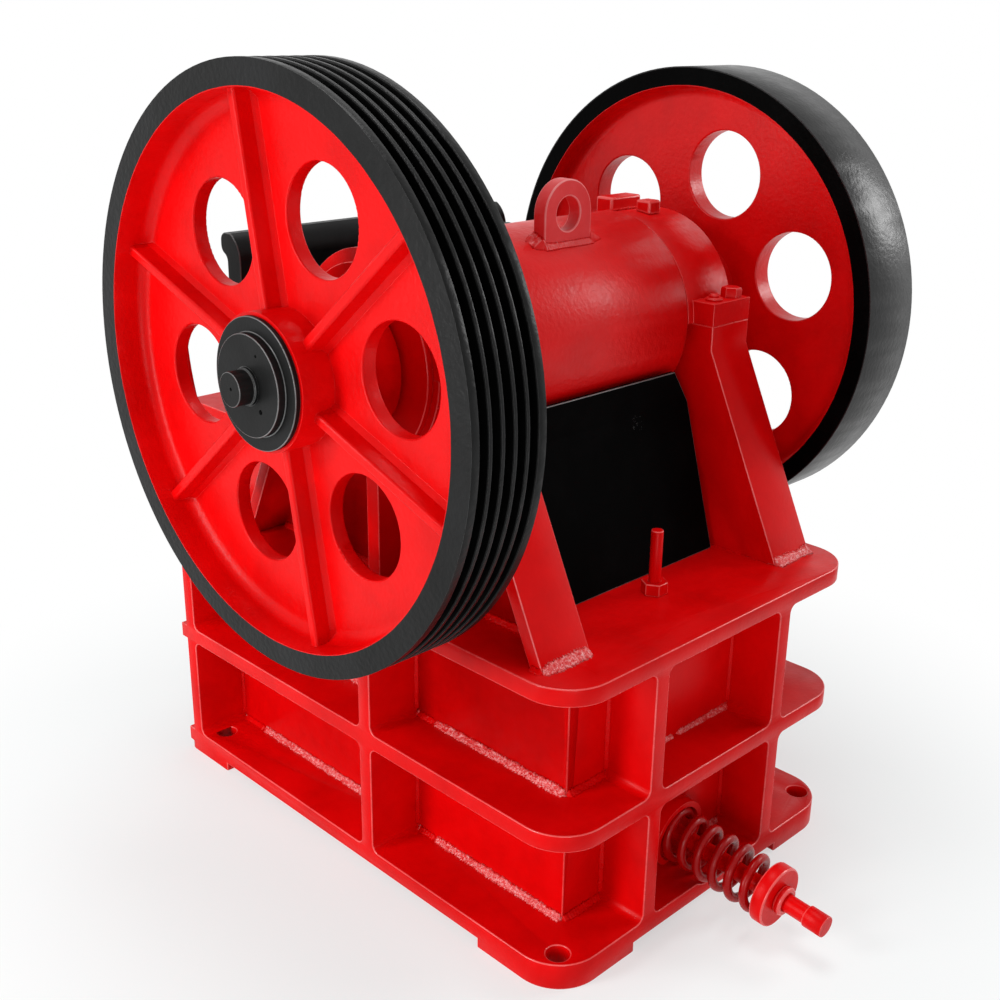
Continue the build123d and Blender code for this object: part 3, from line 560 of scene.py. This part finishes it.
def weld_frame():
    beads, seams = Beads(3), Beads(5)
    for side in (-1, 1):
        out = (side, 0, 0)
        x = side * wall_x
        for low, high in tiers:
            for start, end in ((SHAFT.y - RIB, rear_y), (front_rib, SHAFT.y + RIB)):
                ragged = start + 0.14 * (end - start)
                beads.add((x, ragged, low), (x, end, low), out, UP, 0.0088, fade=0.25, lumps=0.3)
                seams.add((x, start, low), (x, ragged, low), out, UP, 0.006)
                toe = start + 0.008 * (1 if end > start else -1)
                beads.add((x, start, low), (x, toe, low), out, UP, 0.006, lumps=0.5)
                seams.add((x, start, high), (x, end, high), out, -UP, 0.005)
            for y, way in ((SHAFT.y - RIB, -1), (SHAFT.y + RIB, 1), (front_rib, -1)):
                top, foot = (x, y, high - 0.012), (x, y, low + 0.006)
                seams.add(top, foot, out, (0, way, 0), 0.0042, fade=0.4)
        deck = top_high.z
        foot_y = brace_low.y
        x_in, x_out = side * brace_low.x, side * brace_high.x
        start, end = (x_in, foot_y, deck), (x_out, foot_y, deck)
        beads.add(start, end, (0, -1, 0), stand_slope, 0.0095, lumps=0.3)
        seams.add(end, (x_out, foot_y + 0.017, deck), out, UP, 0.006)
        front_foot = 2 * SHAFT.y - foot_y
        back_slope = (0, -stand_slope.y, stand_slope.z)
        start, end = (x, front_foot, deck), (x_out, front_foot, deck)
        beads.add(start, end, (0, 1, 0), back_slope, 0.0095, lumps=0.3)
        seams.add((x, foot_y + 0.02, deck), (x, SHAFT.y - RIB, deck), out, UP, 0.007)
        seams.add((x, front_foot - 0.02, deck), (x, SHAFT.y + RIB, deck), out, UP, 0.007)
        for way in (-1, 1):
            y = SHAFT.y + way * RIB
            seams.add((x, y, SHAFT.z - 0.125), (x, y, deck + 0.004), out, (0, way, 0), 0.005)
            tip = (side * (brace_high.x - 0.002), y, deck)
            seams.add((x, y, deck), tip, (0, way, 0), UP, 0.005)
    for y, way in ((rear_y, -1), (front_y, 1)):
        out = (0, way, 0)
        for tier, (low, high) in enumerate(tiers):
            for side in (-1, 1):
                edge = side * (END_RIB + RIB)
                corner = (edge, y, low)
                far_x = side * (wall_x if way < 0 else wall_in)
                seams.add(corner, (far_x, y, low), out, UP, 0.007, lumps=0.3)
                tip = y + way * (0.058 if way < 0 else 0.07)
                beads.add(corner, (edge, tip, low), (side, 0, 0), UP, 0.005, fade=0.3, lumps=0.5)
                top, foot = (edge, y, high - 0.012), (edge, y, low + 0.006)
                seams.add(top, foot, out, (side, 0, 0), 0.0045, fade=0.3)
                inside = side * (END_RIB - RIB)
                top, foot = (inside, y, high - 0.012), (inside, y, low + 0.006)
                seams.add(top, foot, out, (-side, 0, 0), 0.0042, fade=0.5)
                stop = 0.052 if tier == 0 and way < 0 else 0.003
                start, end = (side * stop, y, low), (inside, y, low)
                beads.add(start, end, out, UP, 0.007, fade=0.4, lumps=0.3)
    beads.finish("floor_welds", "frame", weld_glint_red)
    seams.finish("rib_welds", "frame", plate_red)


def weld_eye():
    """Lumpy weld around the foot of the lifting eye."""
    low, high = (Vector(c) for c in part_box("lifting_eye"))
    beads = Beads(11)
    feet = {}
    for key, y in (("rear", low.y), ("front", high.y)):
        rise = math.sqrt(BARREL_RADIUS**2 - (y - SHAFT.y) ** 2)
        feet[key] = (y, SHAFT.z + rise, (y - SHAFT.y) / BARREL_RADIUS, rise / BARREL_RADIUS)
    y, z, lean, level = feet["rear"]
    beads.add((low.x - 0.004, y, z), (high.x + 0.004, y, z), (0, -level, lean), UP, 0.0058)
    y, z, lean, level = feet["front"]
    start, end = (low.x - 0.004, y, z), (high.x + 0.004, y, z)
    beads.add(start, end, (0, level, -lean), UP, 0.008, lumps=0.3)
    for x, way in ((low.x, -1), (high.x, 1)):
        start = Vector((x - way * 0.001, feet["rear"][0] - 0.002, feet["rear"][1] - 0.001))
        end = Vector((x - way * 0.001, feet["front"][0] + 0.002, feet["front"][1] - 0.001))
        beads.add(start, end, (way, 0, 0), UP, 0.02, lumps=0.45, height=0.012)
    beads.finish("eye_welds", "swing_jaw", cast_red)


weld_frame()
weld_eye()


def ring_shell(shell, profile, centre, axis, count=64):
    """Closed ring or disc turned about an axis from an outline of (distance along, radius)."""
    axis = Vector(axis).normalized()
    side = axis.orthogonal().normalized()
    other = axis.cross(side)
    rows = []
    for along, radius in profile:
        row = []
        for index in range(count):
            turn = 2 * math.pi * index / count
            away = side * math.cos(turn) + other * math.sin(turn)
            row.append(shell.verts.new(Vector(centre) + axis * along + away * radius))
        rows.append(row)
    for first, second in zip(rows, rows[1:] + rows[:1]):
        for index in range(count):
            after = (index + 1) % count
            shell.faces.new((first[index], first[after], second[after], second[index]))


def finish_shell(shell, name, body, mats, width=None):
    bmesh.ops.recalc_face_normals(shell, faces=shell.faces)
    mesh = bpy.data.meshes.new(name)
    shell.to_mesh(mesh)
    shell.free()
    smooth(mesh)
    obj = new_object(name, mesh, body, mats)
    if width:
        round_edges(obj, width)


def dust_rings():
    """Thin rings that close the gap between the barrel and the bearing caps."""
    shell = bmesh.new()
    outline = (
        (0.1512, 0.1),
        (0.1512, 0.1165),
        (0.1518, 0.1172),
        (0.1552, 0.1172),
        (0.1552, 0.1),
    )
    for side in (-1, 1):
        ring_shell(shell, outline, SHAFT, (side, 0, 0), 96)
    finish_shell(shell, "dust_rings", "frame", [cast_red, red_edge_highlight])


dust_rings()


def hexagon(shell, centre, axis, across, height, turn=0.0):
    """Chamfered hexagon head."""
    axis = Vector(axis).normalized()
    side = axis.orthogonal().normalized()
    other = axis.cross(side)
    corner = across / math.sqrt(3)
    rows = []
    for along, scale in ((-0.0005, 1.0), (height * 0.8, 1.0), (height, 0.86)):
        row = []
        for index in range(6):
            angle = turn + math.pi / 3 * index
            away = side * math.cos(angle) + other * math.sin(angle)
            row.append(shell.verts.new(Vector(centre) + axis * along + away * corner * scale))
        rows.append(row)
    for first, second in zip(rows, rows[1:]):
        for index in range(6):
            after = (index + 1) % 6
            shell.faces.new((first[index], first[after], second[after], second[index]))
    shell.faces.new(list(reversed(rows[0])))
    shell.faces.new(rows[-1])


def round_stub(shell, centre, axis, radius, height, count=28):
    """Short round end with a chamfer."""
    chamfer = min(0.0015, height / 3)
    outline = (
        (-0.0005, 0.0004),
        (-0.0005, radius),
        (height - chamfer, radius),
        (height, radius - chamfer),
        (height, 0.0004),
    )
    ring_shell(shell, outline, centre, axis, count)


def ear_bolts():
    """Two fasteners on each ear of the bearing caps: a hexagon head and a low round nut."""
    shell = bmesh.new()
    ear_top, ear_reach = 0.027, 0.131
    head_x, nut_x = 0.219, 0.185
    top = SHAFT.z + ear_top
    for side in (-1, 1):
        for way in (-1, 1):
            y = SHAFT.y + way * ear_reach
            hexagon(shell, (side * head_x, y, top), UP, 0.022, 0.012, 0.35)
            round_stub(shell, (side * nut_x, y, top), UP, 0.0105, 0.004)
            round_stub(shell, (side * nut_x, y, top + 0.0035), UP, 0.006, 0.0045)
    finish_shell(shell, "ear_bolts", "frame", [plate_red, red_edge_highlight], width=0.0008)


ear_bolts()


def feed_bolts():
    """Bolts that hold the feed lip, the fixed jaw in the front wall and the clamp bar."""
    blacks = [satin_black, black_edge_highlight]
    lip_y = Vector(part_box("feed_lip")[1]).y - 0.012
    lip_z = Vector(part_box("front_top_plate")[1]).z + 0.045
    shell = bmesh.new()
    for x in (-0.17, -0.06, 0.06, 0.17):
        hexagon(shell, (x, lip_y, lip_z), (0, 1, 0), 0.024, 0.013, 0.2)
    for x in (-0.055, 0.055):
        hexagon(shell, (x, front_y, top_high.z + 0.06), (0, 1, 0), 0.03, 0.017, 0.5)
    finish_shell(shell, "feed_bolts", "frame", blacks, width=0.0008)
    bar_low, bar_high = (Vector(c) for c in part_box("jaw_clamp_bar"))
    shell = bmesh.new()
    lean = Vector((0, -0.132, 0.991))
    middle = (bar_low + bar_high) / 2 + lean * 0.0083
    for x in (-0.085, 0, 0.085):
        hexagon(shell, middle + Vector((x, 0, 0)), lean, 0.019, 0.008, 0.1)
    finish_shell(shell, "clamp_bolts", "swing_jaw", blacks, width=0.0006)


feed_bolts()


def coil():
    """Compression spring stretched between the cup and the washer."""
    wire, radius, turns = 0.0055, 0.028, 5.8
    cup, span = 0.005, 0.139
    low, high = cup + wire, cup + span - wire
    side = Vector((1, 0, 0))
    other = ROD_LINE.cross(side)
    shell = bmesh.new()
    steps = int(turns * 40)
    around = 14
    rows = []
    points = []
    for index in range(steps + 1):
        t = index / steps
        turn = 2 * math.pi * turns * t + 0.4
        along = low + (high - low) * t
        away = side * math.cos(turn) + other * math.sin(turn)
        points.append((ROD_START + ROD_LINE * along + away * radius, away))
    for index, (point, away) in enumerate(points):
        before = points[max(0, index - 1)][0]
        after = points[min(steps, index + 1)][0]
        tangent = (after - before).normalized()
        binormal = tangent.cross(away).normalized()
        row = []
        for step in range(around):
            angle = 2 * math.pi * step / around
            outward = away * math.cos(angle) + binormal * math.sin(angle)
            row.append(shell.verts.new(point + outward * wire))
        rows.append(row)
    for first, second in zip(rows, rows[1:]):
        for index in range(around):
            after = (index + 1) % around
            shell.faces.new((first[index], first[after], second[after], second[index]))
    shell.faces.new(list(reversed(rows[0])))
    shell.faces.new(rows[-1])
    bmesh.ops.recalc_face_normals(shell, faces=shell.faces)
    mesh = bpy.data.meshes.new("spring_coil")
    shell.to_mesh(mesh)
    shell.free()
    smooth(mesh)
    obj = bpy.data.objects.new("spring_coil", mesh)
    bpy.context.scene.collection.objects.link(obj)
    mesh.materials.append(coil_red)
    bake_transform(obj)
    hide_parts("tension_spring")


coil_red = enamel("coil_red", DARK_RED, 0.26, 0.2, 260.0, 0.12)
coil()


def hole_shade_discs():
    """Near-black discs in place of the centre hole on each shaft end and two small holes in each
    cap: painted shade of the holes.
    """
    shaft_end, cap_face = 0.409, 0.389
    marks = (
        (shaft_end, -0.002, 0.001, 0.0018),
        (cap_face, -0.021, -0.022, 0.0026),
        (cap_face, -0.017, 0.033, 0.0015),
    )
    hole_shade_shell = bmesh.new()
    for side in (-1, 1):
        for x, y, z, radius in marks:
            outline = ((-0.001, 0.0002), (-0.001, radius), (0.0001, radius), (0.0001, 0.0002))
            ring_shell(hole_shade_shell, outline, SHAFT + Vector((side * x, y, z)), (side, 0, 0), 16)
    finish_shell(hole_shade_shell, "hole_shade_discs", "rotor", [guard_shade_black])


hole_shade_discs()


# Stage and light
def camera_rays(tree):
    """1 for camera, mirror and glass rays, 0 for light."""
    path = tree.nodes.new("ShaderNodeLightPath")
    most = math_node(tree, "MAXIMUM", path.outputs["Is Camera Ray"], path.outputs["Is Glossy Ray"])
    return math_node(tree, "MAXIMUM", most, path.outputs["Is Transmission Ray"])


def build_stage():
    mesh = bpy.data.meshes.new("floor")
    size = 30
    corners = [(-size, -size, 0), (size, -size, 0), (size, size, 0), (-size, size, 0)]
    mesh.from_pydata(corners, [], [(0, 1, 2, 3)])
    floor = bpy.data.objects.new("floor", mesh)
    bpy.context.scene.collection.objects.link(floor)
    mat, tree, shader = material("pale_floor")
    shader.inputs["Base Color"].default_value = (0.86, 0.94, 0.94, 1)
    shader.inputs["Roughness"].default_value = 0.7
    shader.inputs["Specular IOR Level"].default_value = 0.1
    glow = node(tree, "ShaderNodeEmission", Color=(1, 1, 1, 1), Strength=1.0)
    mix = tree.nodes.new("ShaderNodeMixShader")
    distance = tree.nodes.new("ShaderNodeVectorMath")
    distance.operation = "LENGTH"
    tree.links.new(coordinates(tree), distance.inputs[0])
    fade = node(tree, "ShaderNodeMapRange", From_Min=0.4, From_Max=0.95, To_Min=0.55)
    fade.inputs["To Max"].default_value = 1.0
    fade.interpolation_type = "SMOOTHSTEP"
    tree.links.new(distance.outputs["Value"], fade.inputs["Value"])
    seen = math_node(tree, "MULTIPLY", fade.outputs["Result"], camera_rays(tree))
    tree.links.new(seen, mix.inputs["Fac"])
    tree.links.new(shader.outputs["BSDF"], mix.inputs[1])
    tree.links.new(glow.outputs["Emission"], mix.inputs[2])
    tree.links.new(mix.outputs["Shader"], tree.nodes["Material Output"].inputs["Surface"])
    mesh.materials.append(mat)

    world = bpy.data.worlds.new("studio")
    bpy.context.scene.world = world
    world.use_nodes = True
    tree = world.node_tree
    back = tree.nodes["Background"]
    back.inputs["Color"].default_value = (1, 1, 1, 1)
    tree.links.new(spread(tree, camera_rays(tree), 0.28, 1.0), back.inputs["Strength"])


def lamp(name, place, target, size, power):
    data = bpy.data.lights.new(name, "AREA")
    data.shape = "RECTANGLE"
    data.size, data.size_y = size
    data.energy = power
    obj = bpy.data.objects.new(name, data)
    obj.location = place
    obj.rotation_euler = (Vector(target) - Vector(place)).to_track_quat("-Z", "Y").to_euler()
    bpy.context.scene.collection.objects.link(obj)


build_stage()
lamp("key", (-2.3, 0.55, 1.6), (0, 0, 0.45), (0.7, 0.7), 25)
lamp("low left", (-1.7, 0.4, 0.55), (-0.2, 0.05, 0.15), (0.5, 0.4), 9)
lamp("right", (2.5, -1.4, 1.7), (0, 0, 0.5), (1.1, 0.9), 30)
lamp("near", (-1.15, -1.35, 0.45), (-0.1, -0.3, 0.2), (0.4, 0.4), 5)
lamp("top", (0.2, 0.1, 3.0), (0, 0, 0.4), (1.0, 1.0), 24)
bpy.context.scene.view_settings.view_transform = "Standard"
